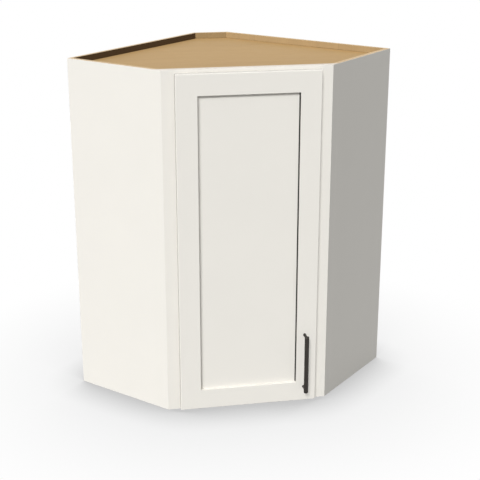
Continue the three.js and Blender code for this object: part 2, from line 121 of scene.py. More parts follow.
# %% [markdown]
# ## Node trees written as sums
#
# A material is a small program. Its arithmetic could be laid out by hand, one Math node at a
# time, but a reader then has to follow wires. Here a socket is wrapped in a class that knows
# + - * and /, so that an ordinary Python expression adds the nodes. Materials and Geometry Nodes
# share it.

# %% Signals
def sums(operation):
    """An operation's two methods: with the signal first, and with it second."""
    return (lambda self, other: self.graph.math(operation, self, other),
            lambda self, other: self.graph.math(operation, other, self))


class Signal:
    """What comes out of a node's socket. Arithmetic on it adds Math nodes."""

    def __init__(self, graph, socket):
        self.graph = graph
        self.socket = socket

    __add__, __radd__ = sums("ADD")
    __sub__, __rsub__ = sums("SUBTRACT")
    __mul__, __rmul__ = sums("MULTIPLY")
    __truediv__, __rtruediv__ = sums("DIVIDE")


# %% Graphs
COLOUR_SPREAD = 0.03


def find_socket(sockets, key):
    """A socket by its number, its identifier or its name."""
    known = {socket.identifier: socket for socket in sockets}
    return known[key] if key in known else sockets[key]


class Graph:
    """A node tree, with one method that adds any node and a few short forms of it."""

    def __init__(self, tree):
        self.tree = tree

    def node(self, kind, settings=None, inputs=None, out=0):
        made = self.tree.nodes.new(kind)
        for name, value in (settings or {}).items():
            setattr(made, name, value)
        for key, value in (inputs or {}).items():
            socket = find_socket(made.inputs, key)
            if isinstance(value, Signal):
                self.tree.links.new(value.socket, socket)
            else:
                socket.default_value = value[:3] if socket.type == "VECTOR" else value
        return Signal(self, find_socket(made.outputs, out)) if len(made.outputs) else None

    def math(self, operation, *values):
        inputs = dict(enumerate(values))
        return self.node("ShaderNodeMath", {"operation": operation}, inputs)

    def dot(self, vector, direction):
        """How far a vector reaches along a fixed direction."""
        inputs = {0: vector, 1: tuple(direction)}
        return self.node("ShaderNodeVectorMath", {"operation": "DOT_PRODUCT"}, inputs, "Value")

    def combine(self, x, y, z):
        return self.node("ShaderNodeCombineXYZ", None, {0: x, 1: y, 2: z})

    def separate(self, vector):
        split = self.node("ShaderNodeSeparateXYZ", None, {0: vector}).socket.node
        return [Signal(self, socket) for socket in split.outputs]

    def ramp(self, value, low, high):
        """0 below low and 1 above high, with a soft step between."""
        settings = {"interpolation_type": "SMOOTHSTEP", "clamp": True}
        inputs = {"Value": value, "From Min": low, "From Max": high}
        return self.node("ShaderNodeMapRange", settings, inputs)

    def past(self, value, level, start, full):
        """A ramp that starts and is full so many millimetres past a level."""
        return self.ramp(value, level + start * MM, level + full * MM)

    def mix(self, factor, first, second):
        """A colour between two colours."""
        inputs = {"Factor_Float": factor, "A_Color": first, "B_Color": second}
        return self.node("ShaderNodeMix", {"data_type": "RGBA"}, inputs, "Result_Color")

    def tint(self, colour, amount):
        """A colour times a number, which may be a signal."""
        inputs = {0: colour, "Scale": amount}
        return self.node("ShaderNodeVectorMath", {"operation": "SCALE"}, inputs, "Vector")

    def vary(self, colour, chance):
        """A colour a little darker or lighter, as a chance value from 0 to 1 says."""
        return self.tint(colour, 1 - COLOUR_SPREAD / 2 + COLOUR_SPREAD * chance)

    def luck(self, number):
        """A chance value from 0 to 1, the same wherever the number is the same."""
        inputs = {"W": number}
        return self.node("ShaderNodeTexWhiteNoise", {"noise_dimensions": "1D"}, inputs, "Value")

    def noise(self, place, scale, detail=2.0, roughness=0.5):
        inputs = {"Vector": place, "Scale": scale, "Detail": detail, "Roughness": roughness}
        return self.node("ShaderNodeTexNoise", {"noise_dimensions": "3D"}, inputs, "Fac")


def empty_graph(owner):
    """The node tree of a material or a world, emptied."""
    owner.use_nodes = True
    owner.node_tree.nodes.clear()
    return Graph(owner.node_tree)


def srgb(red, green, blue):
    """A colour as the eye reads it, 0 to 255, turned into the linear one that Blender mixes."""
    def linear(value):
        share = value / 255
        return share / 12.92 if share <= 0.04045 else ((share + 0.055) / 1.055) ** 2.4
    return linear(red), linear(green), linear(blue), 1.0


print("a grey of 128 is", round(srgb(128, 128, 128)[0], 3), "in linear light")

# %% [markdown]
# ## What a finish is made of
#
# Each finish below is a function that returns three things at a point of a board: its colour, how
# rough it is, and how high its surface stands, in metres. Keeping the three together lets one
# board carry two finishes, paint outside and wood inside, by mixing them with a single mask.

# %% A finish and its material
class Finish:
    """Colour, roughness and height of a surface, as signals or constants."""

    def __init__(self, colour, roughness, height):
        self.colour = colour
        self.roughness = roughness
        self.height = height

    def under(self, graph, mask, other):
        """This finish where the mask is 0 and the other one where it is 1."""
        colour = graph.mix(mask, self.colour, other.colour)
        roughness = self.roughness * (1 - mask) + other.roughness * mask
        height = self.height * (1 - mask) + other.height * mask
        return Finish(colour, roughness, height)


def new_material(name, make_finish, **constants):
    """A material from a function that turns (graph, place, facing) into a finish."""
    material = bpy.data.materials.new(name)
    graph = empty_graph(material)
    place = graph.node("ShaderNodeTexCoord", out="Object")
    facing = Signal(graph, place.socket.node.outputs["Normal"])
    finish = make_finish(graph, place, facing)
    # With a distance of 1, the bump reads its height in metres.
    bump = {"Strength": 1.0, "Distance": 1.0, "Height": finish.height}
    inputs = {"Base Color": finish.colour, "Roughness": finish.roughness,
              "Normal": graph.node("ShaderNodeBump", None, bump)}
    surface = graph.node("ShaderNodeBsdfPrincipled", None, {**inputs, **constants})
    graph.node("ShaderNodeOutputMaterial", None, {"Surface": surface})
    return material


# %% [markdown]
# ## White paint
#
# Factory paint on a cabinet is a satin, slightly warm white. Sprayed lacquer levels almost flat,
# but a raking light still finds a fine orange-peel texture and a faint cloudiness. Both could be
# image maps; three noises at real sizes, from a hand's width to a fraction of a millimetre, do it
# at any distance. The paint takes a mask of shade, which only the door uses. The face frame's
# upper end has its primer only, a little warmer than the paint.

# %% Paint
PAINT_WHITE = srgb(232, 229, 222)
PAINT_SHADE = srgb(40, 38, 35)
PRIMER = srgb(222, 214, 202)
SHEEN = {"Specular IOR Level": 0.3}
CLOUDS, PEEL, FLECKS = 9.0, 700.0, 2600.0  # waves per metre, as in every noise below
PEEL_HEIGHT, FLECK_HEIGHT = 0.018 * MM, 0.002 * MM


def paint(graph, place, shade=None):
    """Satin paint, dark where the shade is 1."""
    cloud = graph.noise(place, CLOUDS)
    peel = graph.noise(place, PEEL, 1.0)
    fleck = graph.noise(place, FLECKS, 0.0)
    colour = graph.vary(PAINT_WHITE, cloud)
    if shade is not None:
        colour = graph.mix(shade, colour, PAINT_SHADE)
    roughness = 0.36 + 0.08 * cloud + 0.05 * peel
    return Finish(colour, roughness, PEEL_HEIGHT * peel + FLECK_HEIGHT * fleck)


def frame_finish(graph, place, facing):
    """Paint, with primer on the frame's upper end."""
    finish = paint(graph, place)
    upper_end = graph.past(graph.separate(place)[2], frame_top, -0.35, -0.1)
    finish.colour = graph.mix(upper_end, finish.colour, PRIMER)
    return finish


white_paint = new_material("white_paint", frame_finish, **SHEEN)
print("made", white_paint.name)

# %% [markdown]
# ## Painted shade on the door
#
# The centre panel lies 8 mm behind the stiles and rails. On the real door the wall of that recess
# on the handle's side reads as a thin dark line down the whole panel. Light alone leaves it
# pale, so shade is painted there: on the stile's wall, and on the panel for the last 3 mm
# beside it. The wall looks wide from the left, so its painted shade grows towards the panel and
# isn't one black band. The door's outer edges get painted shade towards the frame too, most of all
# at the hinges.

# %% Paint of the door
WALL_SHADE = 0.6  # full a millimetre in; the rest grows towards the panel
HINGE_EDGE_SHADE, FREE_EDGE_SHADE = 0.85, 0.4


def recess_shade(graph, place):
    """Painted shade: 1 in the corner between the panel and the handle stile, 0 on the open faces.
    """
    x, y, z = graph.separate(place)
    within = graph.past(z, recess_bottom, 0, 1) * (1 - graph.past(z, recess_top, -1, 0))
    on_wall = 1 - graph.past(x, recess_right, 0.1, 0.3)
    towards_panel = graph.ramp(y, door_front + 1 * MM, panel_front - 2 * MM)
    deep = WALL_SHADE * graph.past(y, door_front, 0.4, 1) + (1 - WALL_SHADE) * towards_panel
    on_panel = graph.past(x, recess_right, -3.1, -1.9)
    before_panel = 1 - graph.past(y, panel_front, 0.2, 0.4)
    return within * on_wall * deep * on_panel * before_panel


def edge_shade(graph, place):
    """Painted shade towards the back of the door's outer edges, strongest at the hinge side."""
    x, y, z = graph.separate(place)
    most = HINGE_EDGE_SHADE * (1 - graph.past(x, door_left, 0.2, 0.5))
    for outside in (graph.past(x, door_right, -0.5, -0.2),
                    graph.past(z, door_top, -0.5, -0.2),
                    1 - graph.past(z, door_bottom, 0.2, 0.5)):
        most = graph.math("MAXIMUM", most, FREE_EDGE_SHADE * outside)
    return graph.past(y, door_back, -15, 0) * most


def door_finish(graph, place, facing):
    shade = graph.math("MAXIMUM", recess_shade(graph, place), edge_shade(graph, place))
    return paint(graph, place, shade)


door_paint = new_material("door_paint", door_finish, **SHEEN)
print("made", door_paint.name)

# %% [markdown]
# ## Plywood
#
# Cabinet plywood has a thin decorative veneer on both faces and a stack of crossed plies between.
# Its face shows long, low-contrast grain cut into leaves a hand or two wide; its edge shows the
# plies, light where the grain runs along the edge and darker where it is cut across. A photograph
# of wood would have to be laid on every board by hand. Noise stretched along the grain, and plies
# counted through the board, follow any board from its two directions alone.

# %% Veneer
FACE_LIGHT = srgb(182, 149, 100)
FACE_DARK = srgb(170, 138, 89)
JOINT_BROWN = srgb(112, 88, 56)
LEAF_WIDTH, LEAF_SHIFT = 0.28, 3.0  # in metres; a leaf's grain is shifted by up to that
LEAF_START = 0.37  # in leaves
LEAF_JOINT = 0.4975, 0.499  # in leaves from a leaf's middle
# The stretch along and across the grain, then the noise's scale, detail and roughness.
WAVES = (1.1, 9.0), 2.2, 3.0, 0.55
LINES = (6.0, 240.0), 1.0, 2.0
PORES = (45.0, 900.0), 1.0, 1.0
LINE_HEIGHT, PORE_HEIGHT = 0.012 * MM, 0.02 * MM


def stretched(graph, place, stretch, *noise):
    """Noise at a place (along, across, depth) that is drawn out along the grain."""
    along, across, depth = place
    lengthwise, crosswise = stretch
    drawn = graph.combine(along * lengthwise, across * crosswise, depth * crosswise)
    return graph.noise(drawn, *noise)


def from_middle(graph, count):
    """How far a running count is from the middle between two whole numbers."""
    return graph.math("ABSOLUTE", graph.math("FRACT", count) - 0.5)


def veneer(graph, along, across, depth, light=FACE_LIGHT, dark=FACE_DARK, leaf_start=LEAF_START):
    """The face of a sheet: leaves of veneer side by side, each with its own grain."""
    leaves = across / LEAF_WIDTH + leaf_start
    luck = graph.luck(graph.math("FLOOR", leaves))
    place = along + LEAF_SHIFT * luck, across, depth
    waves = stretched(graph, place, *WAVES)
    lines = stretched(graph, place, *LINES)
    pores = stretched(graph, place, *PORES)
    figure = 0.4 * waves + 0.35 * lines + 0.25 * pores
    colour = graph.vary(graph.mix(graph.ramp(figure, 0.2, 0.8), light, dark), luck)
    joint = graph.ramp(from_middle(graph, leaves), *LEAF_JOINT)
    colour = graph.mix(0.5 * joint, colour, JOINT_BROWN)
    return Finish(colour, 0.5 + 0.16 * pores, LINE_HEIGHT * lines + PORE_HEIGHT * pores)


# %% Plies
EDGE_LIGHT = srgb(218, 196, 162)
EDGE_DARK = srgb(192, 163, 124)
FIBRES, FIBRES_THROUGH = 900.0, 3500.0
FIBRE_HEIGHT = 0.03 * MM
GLUE_LINE = 0.44, 0.49  # in plies from a ply's middle
SQUARELY = 0.6, 0.8  # how much of a surface's direction lies along another one


def plies(graph, along, across, depth, ply):
    """The edge of a sheet: crossed plies, counted through its thickness."""
    counted = depth / ply
    count = graph.math("FLOOR", counted)
    crossed = graph.math("PINGPONG", count, 1.0)
    place = graph.combine(along * FIBRES, across * FIBRES, depth * FIBRES_THROUGH)
    fibres = graph.noise(place, 1.0, 1.0)
    darker = 0.75 * crossed + 0.3 * graph.luck(count) + 0.5 * fibres - 0.35
    colour = graph.mix(graph.math("MINIMUM", darker, 1.0), EDGE_LIGHT, EDGE_DARK)
    glue = graph.ramp(from_middle(graph, counted), *GLUE_LINE)
    colour = graph.mix(0.35 * glue, colour, EDGE_DARK)
    return Finish(colour, 0.62 + 0.12 * fibres, FIBRE_HEIGHT * fibres * crossed)


def plywood(graph, place, facing, node, normal, grain=UP, plies_in_sheet=9, **veneer_choices):
    """A whole sheet: veneer on its two faces, plies on its edges."""
    least, most = reach(node, normal)
    along = graph.dot(place, grain)
    across = graph.dot(place, normal.cross(grain))
    depth = graph.dot(place, normal) - least
    face = veneer(graph, along, across, depth, **veneer_choices)
    edge = plies(graph, along, across, depth, (most - least) / plies_in_sheet)
    looks_out = graph.math("ABSOLUTE", graph.dot(facing, normal))
    return edge.under(graph, graph.ramp(looks_out, *SQUARELY), face)


# %% [markdown]
# ## One plywood for each way that a board lies
#
# The top and bottom panels and the shelves lie flat with their grain across the cabinet, and the
# grain of the hang rails runs along the wall. The back panels stand with their grain upright,
# each in a tone of its own; the corner one's darker tone partly paints the shade it stands in. The
# left one gets a mask that paints dark shade on its strip above the top panel; the others have a
# thin dark joint line there.

# %% Plywood of each board
boards = {}


def plain_plywood(node, normal, grain):
    def finish(graph, place, facing):
        return plywood(graph, place, facing, node, normal, grain)
    boards[node] = new_material(f"plywood_{node}", finish, **SHEEN)


for node in ("top_panel", "bottom_panel", "lower_shelf", "upper_shelf"):
    plain_plywood(node, UP, ALONG_X)
for hand, normal in WALL_OUT.items():
    for level in ("top", "bottom"):
        plain_plywood(f"{hand}_{level}_hang_rail", normal, normal.cross(UP))
print(len(boards), "boards have their veneer")

# %% Back panels
# The dark brown below is painted shade, on the left back panel's strip above the top panel.
STRIP_SHADE_BROWN = srgb(75, 55, 30)
BACK_PLIES = 7
JOINT_SHADE = 0.6


def back_panel(node, normal, shaded_strip=False, **choices):
    """A back panel, with its painted strip of shade or its joint line where it meets the top
    panel.
    """
    def finish(graph, place, facing):
        wood = plywood(graph, place, facing, node, normal, UP, BACK_PLIES, **choices)
        height = graph.separate(place)[2]
        above = graph.past(height, deck_level, -0.5, 0.5)
        foot = above * (1 - graph.past(height, deck_level, 0.8, 1.6))
        inside = graph.ramp(graph.dot(facing, -normal), *SQUARELY)
        amount, brown = (above, STRIP_SHADE_BROWN) if shaded_strip else (JOINT_SHADE * foot, JOINT_BROWN)
        wood.colour = graph.mix(amount * inside, wood.colour, brown)
        return wood
    boards[node] = new_material(f"plywood_{node}", finish, **SHEEN)


back_panel("left_back_panel", WALL_OUT["left"], shaded_strip=True)
# The back panels' tones differ; the corner panel's darker one partly paints the shade it stands
# in.
back_panel("right_back_panel", WALL_OUT["right"], leaf_start=0.3257,
           light=srgb(177, 151, 110), dark=srgb(164, 138, 100))
back_panel("corner_back_panel", ALONG_Y, light=srgb(160, 136, 97), dark=srgb(149, 126, 90))
print("made the materials of three back panels")

# %% [markdown]
# ## Painted plywood
#
# A side panel is painted on its outer face only; its inner face and its edges are bare. Two
# materials on one board would need its faces sorted by hand. A mask of depth does it in one: what
# lies within a quarter of a millimetre of the outer face is paint, the rest is plywood.

# %% Side panels
def side_panel(hand, normal):
    node = f"{hand}_side_panel"

    def finish(graph, place, facing):
        wood = plywood(graph, place, facing, node, normal)
        painted = graph.past(graph.dot(place, normal), side_reach[hand][1], -0.3, -0.2)
        return wood.under(graph, painted, paint(graph, place))
    boards[node] = new_material(f"painted_plywood_{hand}", finish, **SHEEN)


for hand, normal in SIDE_OUT.items():
    side_panel(hand, normal)
print("made", boards["left_side_panel"].name, "and", boards["right_side_panel"].name)

# %% [markdown]
# ## Metals and rubber
#
# The pull is a dark brown-black metal with a soft sheen; the hinges, screws and shelf pins are
# nickel-plated steel, brushed by the tool that formed them; the bumpers are clear rubber. Metal
# shows mostly what it mirrors, so its own colour is set as the share of light that it returns.

# %% Dark metal, steel and rubber
def metal(name, marks, patches, light, dark, roughness, mark_height):
    """Metal with marks of a (level, upright) scale; roughness is (least, by the marks)."""
    def finish(graph, place, facing):
        x, y, z = graph.separate(place)
        level, upright = marks
        lines = graph.noise(graph.combine(x * level, y * level, z * upright), 1.0)
        cloud = graph.noise(place, patches)
        least, by_marks = roughness
        colour = graph.mix(cloud, light, dark)
        return Finish(colour, least + by_marks * lines + 0.06 * cloud, mark_height * lines)
    return new_material(name, finish, Metallic=1.0)


def rubber_finish(graph, place, facing):
    cloud = graph.noise(place, 400.0)
    colour = graph.mix(cloud, srgb(236, 238, 236), srgb(222, 225, 223))
    return Finish(colour, 0.22 + 0.1 * cloud, 0.01 * MM * cloud)


dark_metal = metal("dark_metal", (1500.0, 60.0), 60.0, srgb(71, 67, 64), srgb(60, 57, 54),
                   (0.34, 0.1), 0.004 * MM)
steel = metal("steel", (900.0, 5000.0), 120.0, srgb(203, 202, 199), srgb(184, 183, 181),
              (0.2, 0.14), 0.002 * MM)
clear_rubber = new_material(
    "clear_rubber", rubber_finish, **{"Transmission Weight": 0.7, "IOR": 1.45})
print("made", dark_metal.name, steel.name, clear_rubber.name)

# %% [markdown]
# ## Boards with eased edges
#
# No edge on real furniture is a perfect line: sandpaper takes off a few tenths of a millimetre
# and the paint rounds it, which is why edges catch a thread of light. Each board is a copy of its
# solid with its triangles joined into whole faces. Only the edges that a hand would sand are
# rounded, so drilled holes and grooves stay crisp, and so does a joint where two boards are glued
# flush. Smooth shading would bulge the big faces beside a rounding, so each corner of each face
# gets a normal of its own: a whole face keeps its own, and a rounding bends from one to the next.

# %% Copying a solid
MERGE = 0.002 * MM
NEAR_JOINT = 0.2 * MM


def whole_faces(node):
    """A copy of a solid's mesh, its triangles joined into the flat faces they belong to."""
    shape = bmesh.new()
    shape.from_mesh(nodes[node].data)
    bmesh.ops.remove_doubles(shape, verts=shape.verts, dist=MERGE)
    bmesh.ops.dissolve_limit(shape, angle_limit=math.radians(0.5),
                             verts=shape.verts, edges=shape.edges)
    return shape


def in_joint(edge, joint):
    """Whether an edge lies where boards are glued: on the frame's back, or between the levels
    (left, right, low, high) of a joint of stiles and rails."""
    ends = [vertex.co for vertex in edge.verts]
    if all(abs(end.y - frame_back) < NEAR_JOINT for end in ends):
        return True
    if joint is None:
        return False
    left, right, low, high = joint
    at_side = any(all(abs(end.x - side) < NEAR_JOINT for end in ends) for side in (left, right))
    above = all(end.z > high - NEAR_JOINT for end in ends)
    below = all(end.z < low + NEAR_JOINT for end in ends)
    return at_side and (above or below)


def free_edges(shape, least_turn, shortest, joint):
    """The edges that a hand would sand: they turn well, are long and aren't in a joint."""
    return [edge for edge in shape.edges
            if edge.calc_face_angle(0.0) > math.radians(least_turn)
            and edge.calc_length() > shortest
            and not in_joint(edge, joint)]


def cut_level(shape, height):
    """Adds an edge all round a board at a height, so that easing can stop there."""
    parts = shape.verts[:] + shape.edges[:] + shape.faces[:]
    bmesh.ops.bisect_plane(shape, geom=parts, dist=0.01 * MM,
                           plane_co=(0, 0, height), plane_no=(0, 0, 1))


# %% Easing its edges
SAME_SURFACE = math.cos(math.radians(40))


def smooth_mesh(name, shape):
    mesh = bpy.data.meshes.new(name)
    shape.to_mesh(mesh)
    shape.free()
    mesh.shade_smooth()
    return mesh


def corner_normals(shape, rounded):
    """A normal for each corner of each face, so that whole faces look flat."""
    shape.normal_update()
    normals = []
    for face in shape.faces:
        for vertex in face.verts:
            around = [f for f in vertex.link_faces if f.normal.dot(face.normal) > SAME_SURFACE]
            whole = [f for f in around if f not in rounded]
            if face in rounded and whole:
                normals.append(max(whole, key=lambda f: f.normal.dot(face.normal)).normal.copy())
            else:
                shared = around if face in rounded else whole
                total = sum((f.normal * f.calc_area() for f in shared), Vector())
                normals.append(total.normalized())
    return normals


def add_object(name, data):
    made = bpy.data.objects.new(name, data)
    bpy.context.scene.collection.objects.link(made)
    return made


def add_piece(name, mesh, material, body, replaced):
    """Dresses a finished mesh, hangs it on its body and hides the solids that it stands for."""
    mesh.materials.clear()
    mesh.materials.append(material)
    piece = add_object(name, mesh)
    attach(piece, body)
    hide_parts(*replaced)


def eased(node, material, body, width, least_turn=50, shortest=10 * MM,
          move=None, joint=None):
    """A solid's own shape with its free edges rounded to a width."""
    shape = whole_faces(node)
    if move is not None:
        for vertex in shape.verts:
            move(vertex.co)
    if joint is not None:
        for height in joint[2:]:
            cut_level(shape, height)
    edges = free_edges(shape, least_turn, shortest, joint)
    made = bmesh.ops.bevel(shape, geom=edges, offset=width, offset_type="OFFSET", segments=3,
                           profile=0.5, affect="EDGES", clamp_overlap=True)
    normals = corner_normals(shape, set(made["faces"]))
    mesh = smooth_mesh(f"{node}_eased", shape)
    mesh.normals_split_custom_set(normals)
    add_piece(mesh.name, mesh, material, body, [node])


# %% [markdown]
# ## Closing the joints
#
# The solids leave a tenth of a millimetre between glued faces. On the real cabinet glue and paint
# close that joint, and a dark thread across a white frame would be the first thing one sees. The
# ends of the rails, and the front edges of the side panels, are therefore moved up to touch.

# %% Joints that touch
JOINT = 0.1 * MM


def closer(axis, *levels):
    """Moves a point that lies a joint's width from one of the levels onto it."""
    def move(point):
        for level in levels:
            if abs(point[axis] - level) < 1.5 * JOINT:
                point[axis] = level
    return move


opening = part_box("frame_left_stile")[1].x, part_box("frame_right_stile")[0].x
print(f"the frame's opening is {(opening[1] - opening[0]) / MM:.1f} mm wide")

# %% [markdown]
# ## The box
#
# Seven plywood sheets and four hang rails make the box. Saw-cut edges are only lightly sanded,
# so they lose three tenths of a millimetre; the shelves, which hands touch, lose twice as much.

# %% Box and shelves
SAWN_EDGE, HANDLED_EDGE = 0.3 * MM, 0.6 * MM

for node, material in boards.items():
    painted = node.endswith("side_panel")
    width = HANDLED_EDGE if node.endswith("shelf") else SAWN_EDGE
    move = closer(1, frame_back) if painted else None
    eased(node, material, "cabinet", width, move=move)
print(len(boards), "boards eased")

# %% [markdown]
# ## The face frame
#
# Four painted boards frame the opening. Their joints are glued and sanded flush before painting,
# so the edges at a joint stay sharp and closed, and only the long free edges are eased.

# %% Frame members
PAINTED_EDGE = 0.4 * MM


def stiles_and_rails(prefix, stiles, material, body, joint, least_turn, shortest):
    """Eases two stiles and the two rails between them, whose ends are moved up to touch."""
    for part in (*stiles, "top_rail", "bottom_rail"):
        move = closer(0, *joint[:2]) if part.endswith("rail") else None
        eased(f"{prefix}_{part}", material, body, PAINTED_EDGE,
              least_turn, shortest, move, joint)


frame_joint = (*opening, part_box("frame_bottom_rail")[1].z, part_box("frame_top_rail")[0].z)
stiles_and_rails("frame", ("left_stile", "right_stile"), white_paint, "cabinet", frame_joint,
                 least_turn=40, shortest=60 * MM)
print("face frame eased")

# %% [markdown]
# ## The door
#
# A shaker door is two stiles, two rails and a loose panel in a groove. Its outer edges are eased
# by a millimetre. The solid has that as a flat chamfer; rounding the chamfer's own two edges
# turns it into the soft edge of a painted door. The inner edges round the panel are crisper.

# %% Stiles, rails and panel
PANEL_EDGE = 0.3 * MM

door_joint = (recess_left, recess_right, recess_bottom, recess_top)
stiles_and_rails("door", ("hinge_stile", "handle_stile"), door_paint, "door", door_joint,
                 least_turn=30, shortest=40 * MM)
eased("door_centre_panel", door_paint, "door", PANEL_EDGE)
print("door eased")

# %% [markdown]
# ## Turned pieces
#
# The bar of the pull, its posts, the hinge pins and the bumpers are round, so each is an outline
# spun about its axis. Geometry Nodes could sweep a circle too, but an outline in Python lets the
# points crowd where an edge is rounded and stay few along the straight.

# %% Spinning an outline
SHARP = math.radians(35)


def rounded_outline(low, high, radius, low_ease, high_ease, steps=6):
    """Points (radius, height) of a round bar whose two rims are quarter circles."""
    turns = [math.radians(90 * step / steps) for step in range(steps + 1)]
    lower = [(radius - low_ease * (1 - math.sin(turn)), low + low_ease * (1 - math.cos(turn)))
             for turn in turns]
    upper = [(radius - high_ease * (1 - math.cos(turn)), high - high_ease * (1 - math.sin(turn)))
             for turn in turns]
    return lower + upper


def spun(outline, centre, axis, sides=64):
    """A closed mesh from an outline spun about an axis (0, 1 or 2) through a centre."""
    shape = bmesh.new()
    first, second = (axis + 1) % 3, (axis + 2) % 3
    rings = []
    for radius, height in outline:
        ring = []
        for side in range(sides):
            turn = 2 * math.pi * side / sides
            point = Vector(centre)
            point[axis] = height
            point[first] += radius * math.cos(turn)
            point[second] += radius * math.sin(turn)
            ring.append(shape.verts.new(point))
        rings.append(ring)
    for low, high in zip(rings, rings[1:]):
        for side in range(sides):
            after = (side + 1) % sides
            shape.faces.new((low[side], low[after], high[after], high[side]))
    shape.faces.new(reversed(rings[0]))
    shape.faces.new(rings[-1])
    bmesh.ops.recalc_face_normals(shape, faces=shape.faces)
    return shape


def add_turned(name, shape, material, body, node):
    """A turned piece, smooth but for its sharp corners."""
    mesh = smooth_mesh(name, shape)
    mesh.set_sharp_from_angle(angle=SHARP)
    add_piece(name, mesh, material, body, [node])


# %% [markdown]
# ## The bar pull
#
# A straight bar on two posts. The bar's ends are rounded over. A post's outer end is shaped to
# the bar: its first ring follows the bar's round just inside it and the second one just outside,
# so that the two read as one welded piece. Its other end widens into a foot on the door.

# %% Bar and posts
BAR_EASE = 3 * MM
POST_RINGS = 1 * MM, 3 * MM  # behind the bar's middle, before they are fitted to the bar
POST_FOOT = (0, 2.2), (0.15, 1.4), (0.6, 0.7), (0.9, 0)  # mm wider, and mm before the door
INTO_BAR, OFF_BAR = 0.4 * MM, 0.3 * MM

bar_low, bar_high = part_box("pull_bar")
bar_radius = (bar_high.x - bar_low.x) / 2
bar_centre = (bar_low + bar_high) / 2
outline = rounded_outline(bar_low.z, bar_high.z, bar_radius, BAR_EASE, BAR_EASE, 10)
add_turned("pull_bar_turned", spun(outline, bar_centre, 2),
           dark_metal, "door", "pull_bar")
print(f"pull bar {(bar_high.z - bar_low.z) / MM:.0f} mm long, {2 * bar_radius / MM:.0f} mm thick")


def pull_post(label):
    node = f"pull_{label}_post"
    low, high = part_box(node)
    radius = (high.x - low.x) / 2
    outline = [(radius, bar_centre.y + behind) for behind in POST_RINGS]
    outline += [(radius + wider * MM, high.y - before * MM) for wider, before in POST_FOOT]
    shape = spun(outline, (low + high) / 2, 1, 48)
    for vertex in shape.verts:
        offset = vertex.co.x - bar_centre.x
        seat = bar_centre.y + math.sqrt(max(bar_radius ** 2 - offset ** 2, 0.0))
        behind = vertex.co.y - bar_centre.y
        if behind < 2 * MM:
            vertex.co.y = seat - INTO_BAR
        elif behind < 4 * MM:
            vertex.co.y = seat + OFF_BAR
    add_turned(f"{node}_turned", shape, dark_metal, "door", node)


PAIR = ("upper", "lower")
for label in PAIR:
    pull_post(label)

# %% [markdown]
# ## Bumpers and hinge pins
#
# Small clear domes keep the door from slamming on the frame. The hinge pins are plain drawn
# wire. Both are too small to show more than a rounded rim.

# %% Bumpers and pins
BUMPER_FOOT, BUMPER_DOME, PIN_EASE = 0.1 * MM, 1.2 * MM, 0.2 * MM

for label in PAIR:
    low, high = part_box(f"{label}_door_bumper")
    outline = rounded_outline(low.y, high.y, (high.x - low.x) / 2, BUMPER_FOOT, BUMPER_DOME)
    add_turned(f"{label}_door_bumper_dome", spun(outline, (low + high) / 2, 1, 32),
               clear_rubber, "door", f"{label}_door_bumper")
    low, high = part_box(f"{label}_hinge_pin")
    outline = rounded_outline(low.z, high.z, (high.x - low.x) / 2, PIN_EASE, PIN_EASE, 3)
    add_turned(f"{label}_hinge_pin_drawn", spun(outline, (low + high) / 2, 2, 24),
               steel, "door", f"{label}_hinge_pin")
print("bumpers and hinge pins turned")

# %% [markdown]
# ## Hinges
#
# A concealed hinge is a deep-drawn cup in the door, an arm of bent sheet and a plate on the
# frame's edge. Pressing leaves every edge of the sheet slightly rounded, so their solids are
# eased like the boards, but by tenths of a millimetre and along short edges too.

# %% Hinge pressings
PRESSINGS = (  # with the width of the easing and the shortest edge
    ("cup", "door", 0.2 * MM, 0.4 * MM),
    ("arm", "cabinet", 0.25 * MM, 3 * MM),
    ("plate", "cabinet", 0.3 * MM, 3 * MM),
)
for label in PAIR:
    for part, body, width, shortest in PRESSINGS:
        eased(f"{label}_hinge_{part}", steel, body, width, shortest=shortest)
print("hinges eased")

# %% [markdown]
# ## Screws by Geometry Nodes
#
# Twelve screws of two kinds hold the hinges and the pull. One of each could be modelled and
# copied, but a node tree keeps the rule: a head whose radius follows its depth, a cross recess
# cut into it, a threaded shank, and one instance on each point, turned to that point's direction.
# The tree's sizes are named inputs, and its result becomes a plain mesh.

# %% A tree with named inputs
def new_tree(name, sizes):
    """A geometry tree's graph and its inputs by name, the incoming geometry among them."""
    tree = bpy.data.node_groups.new(name, "GeometryNodeTree")
    inputs = [("Geometry", "Geometry"), *((size, "Float") for size in sizes),
              ("Material", "Material")]
    for socket, kind in inputs:
        tree.interface.new_socket(socket, in_out="INPUT", socket_type=f"NodeSocket{kind}")
    tree.interface.new_socket("Geometry", in_out="OUTPUT", socket_type="NodeSocketGeometry")
    graph = Graph(tree)
    source = tree.nodes.new("NodeGroupInput")
    given = {socket.name: Signal(graph, socket) for socket in source.outputs if socket.name}
    return graph, given


def swept(graph, low, high, radius_of, points, sides):
    """A round body along Z whose radius is a rule of its height."""
    ends = {"Start": graph.combine(0.0, 0.0, low), "End": graph.combine(0.0, 0.0, high)}
    line = graph.node("GeometryNodeCurvePrimitiveLine", None, ends)
    line = graph.node("GeometryNodeResampleCurve", None, {"Curve": line, "Count": points})
    height = graph.separate(graph.node("GeometryNodeInputPosition"))[2]
    inputs = {"Resolution": sides, "Radius": 1.0}
    circle = graph.node("GeometryNodeCurvePrimitiveCircle", None, inputs)
    inputs = {"Curve": line, "Profile Curve": circle, "Scale": radius_of(height),
              "Fill Caps": True}
    return graph.node("GeometryNodeCurveToMesh", None, inputs)


def join(graph, *parts):
    joined = graph.tree.nodes.new("GeometryNodeJoinGeometry")
    for part in reversed(parts):
        graph.tree.links.new(part.socket, joined.inputs[0])
    return Signal(graph, joined.outputs[0])


